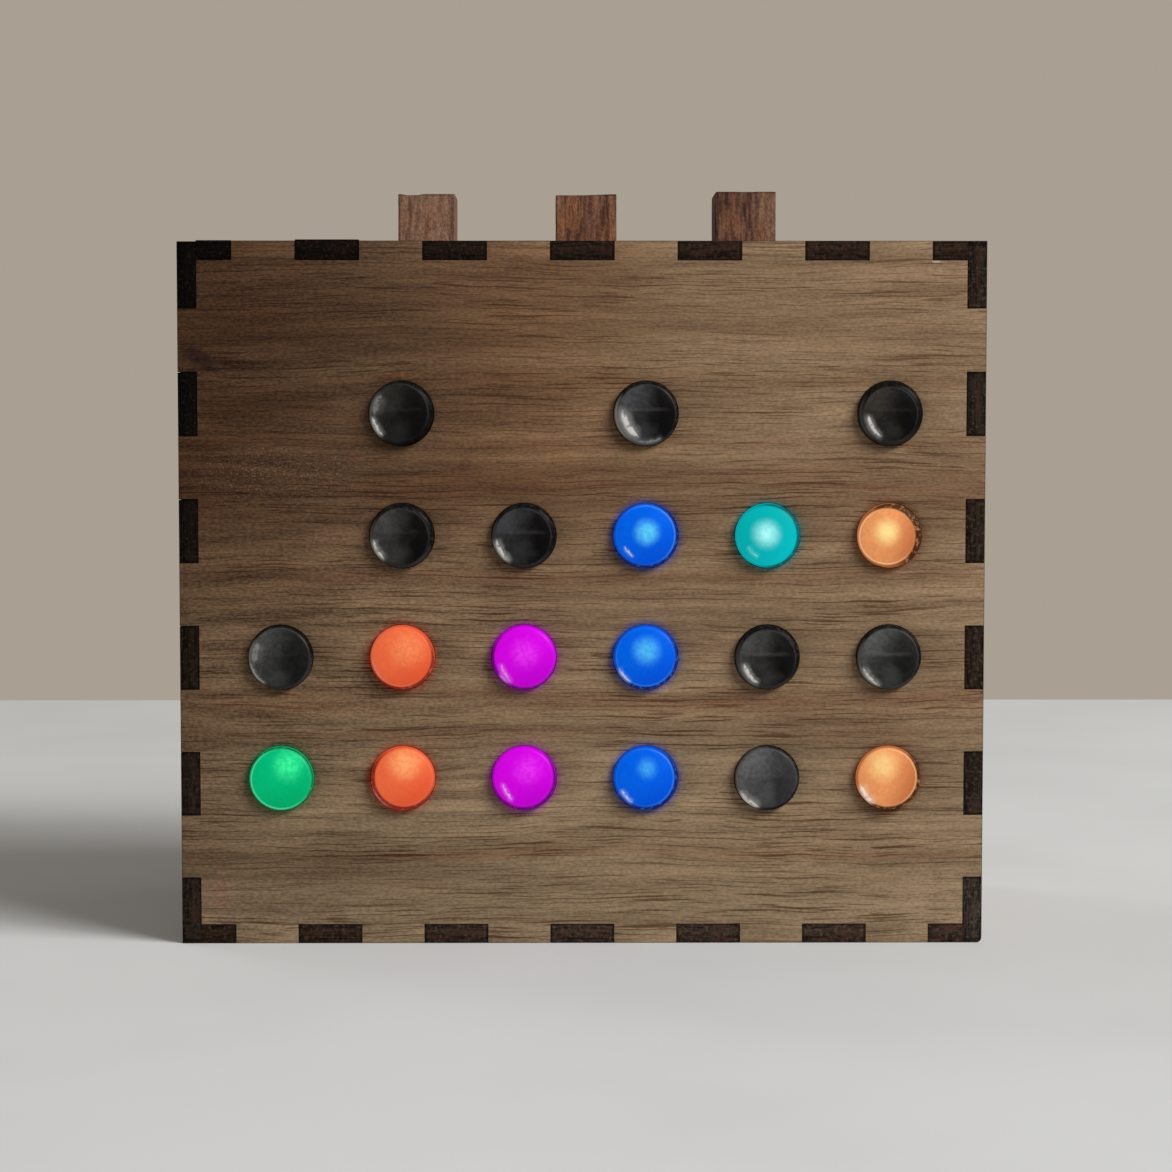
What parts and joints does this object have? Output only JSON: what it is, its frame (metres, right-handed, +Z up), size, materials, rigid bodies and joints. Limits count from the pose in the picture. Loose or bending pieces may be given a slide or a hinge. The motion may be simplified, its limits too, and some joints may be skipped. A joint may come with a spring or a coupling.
{
  "type": "binary clock",
  "caption": "Desk clock in a finger-jointed walnut plywood case with columns of round coloured lamps that show binary-coded decimal time, and wooden push buttons on top.",
  "frame": {"origin": "centre of the underside of the case, without the screw heads behind it", "axes": "+Z up, +X to the right of someone who reads the clock, +Y from its front to its back; the lamps face -Y"},
  "size_m": [0.127, 0.0639, 0.1208],
  "materials": {
    "walnut_plywood": "oiled walnut veneer, horizontal grain, laser-burnt edges",
    "button_walnut": "sanded walnut, upright grain, burnt edges",
    "block_wood": "bare sawn hardwood",
    "lens_unlit": "smoked, polished",
    "lens_lit_green": "frosted cap over a lit lamp, clear glossy skin",
    "lens_lit_red": "frosted cap over a lit lamp, clear glossy skin",
    "lens_lit_magenta": "frosted cap over a lit lamp, clear glossy skin",
    "lens_lit_blue": "frosted cap over a lit lamp, clear glossy skin",
    "lens_lit_teal": "frosted cap over a lit lamp, clear glossy skin",
    "lens_lit_orange": "frosted cap over a lit lamp, clear glossy skin",
    "diffuser_plastic": "white, translucent",
    "black_plastic": "moulded, fine texture",
    "chip_plastic": "moulded epoxy",
    "circuit_board": "green solder mask",
    "led_plastic": "white body, clear filling",
    "nylon": "natural nylon",
    "capacitor_sleeve": "shrunk sleeve",
    "wire_insulation": "PVC, one colour for each wire",
    "plated_steel": "nickel plated",
    "brass": "turned, slightly dulled"
  },
  "bodies": {
    "case": {"back_panel": "walnut_plywood", "back_panel_screws": "brass", "board_screws": "plated_steel", "bottom_panel": "walnut_plywood", "button_board": "circuit_board", "cable_plugs": "nylon", "cable_sockets": "nylon", "coin_cell": "plated_steel", "coin_cell_clip": "plated_steel", "coin_cell_holder": "black_plastic", "crystal": "plated_steel", "diffuser_sheet": "diffuser_plastic", "display_board": "circuit_board", "display_leds": "led_plastic", "front_panel": "walnut_plywood", "hour_tens_lens_1": "lens_lit_green", "hour_tens_lens_2": "lens_unlit", "hour_units_lens_1": "lens_lit_red", "hour_units_lens_2": "lens_lit_red", "hour_units_lens_4": "lens_unlit", "hour_units_lens_8": "lens_unlit", "left_side_panel": "walnut_plywood", "left_switch_spring": "plated_steel", "light_baffle": "black_plastic", "main_board": "circuit_board", "main_board_standoffs": "nylon", "microcontroller": "chip_plastic", "middle_switch_spring": "plated_steel", "minute_tens_lens_1": "lens_lit_magenta", "minute_tens_lens_2": "lens_lit_magenta", "minute_tens_lens_4": "lens_unlit", "minute_units_lens_1": "lens_lit_blue", "minute_units_lens_2": "lens_lit_blue", "minute_units_lens_4": "lens_lit_blue", "minute_units_lens_8": "lens_unlit", "mounting_blocks": "block_wood", "power_capacitor": "capacitor_sleeve", "power_socket": "plated_steel", "real_time_clock_chip": "chip_plastic", "ribbon_cables": "wire_insulation", "right_side_panel": "walnut_plywood", "right_switch_spring": "plated_steel", "second_tens_lens_1": "lens_unlit", "second_tens_lens_2": "lens_unlit", "second_tens_lens_4": "lens_lit_teal", "second_units_lens_1": "lens_lit_orange", "second_units_lens_2": "lens_unlit", "second_units_lens_4": "lens_lit_orange", "second_units_lens_8": "lens_unlit", "switch_housings": "black_plastic", "top_panel": "walnut_plywood"},
    "left_push_button": {"left_button": "button_walnut", "left_button_collar": "walnut_plywood", "left_switch_stem": "nylon"},
    "middle_push_button": {"middle_button": "button_walnut", "middle_button_collar": "walnut_plywood", "middle_switch_stem": "nylon"},
    "right_push_button": {"right_button": "button_walnut", "right_button_collar": "walnut_plywood", "right_switch_stem": "nylon"}
  },
  "joints": [
    {"name": "left_button_press", "type": "slide", "parent": "case", "child": "left_push_button", "axis": [0, 0, -1], "range_m": [0, 0.002], "stiffness_N_per_m": 500, "springref_m": -0.0016, "deforming": ["left_switch_spring"]},
    {"name": "middle_button_press", "type": "slide", "parent": "case", "child": "middle_push_button", "axis": [0, 0, -1], "range_m": [0, 0.002], "stiffness_N_per_m": 500, "springref_m": -0.0016, "deforming": ["middle_switch_spring"]},
    {"name": "right_button_press", "type": "slide", "parent": "case", "child": "right_push_button", "axis": [0, 0, -1], "range_m": [0, 0.002], "stiffness_N_per_m": 500, "springref_m": -0.0016, "deforming": ["right_switch_spring"]}
  ]
}
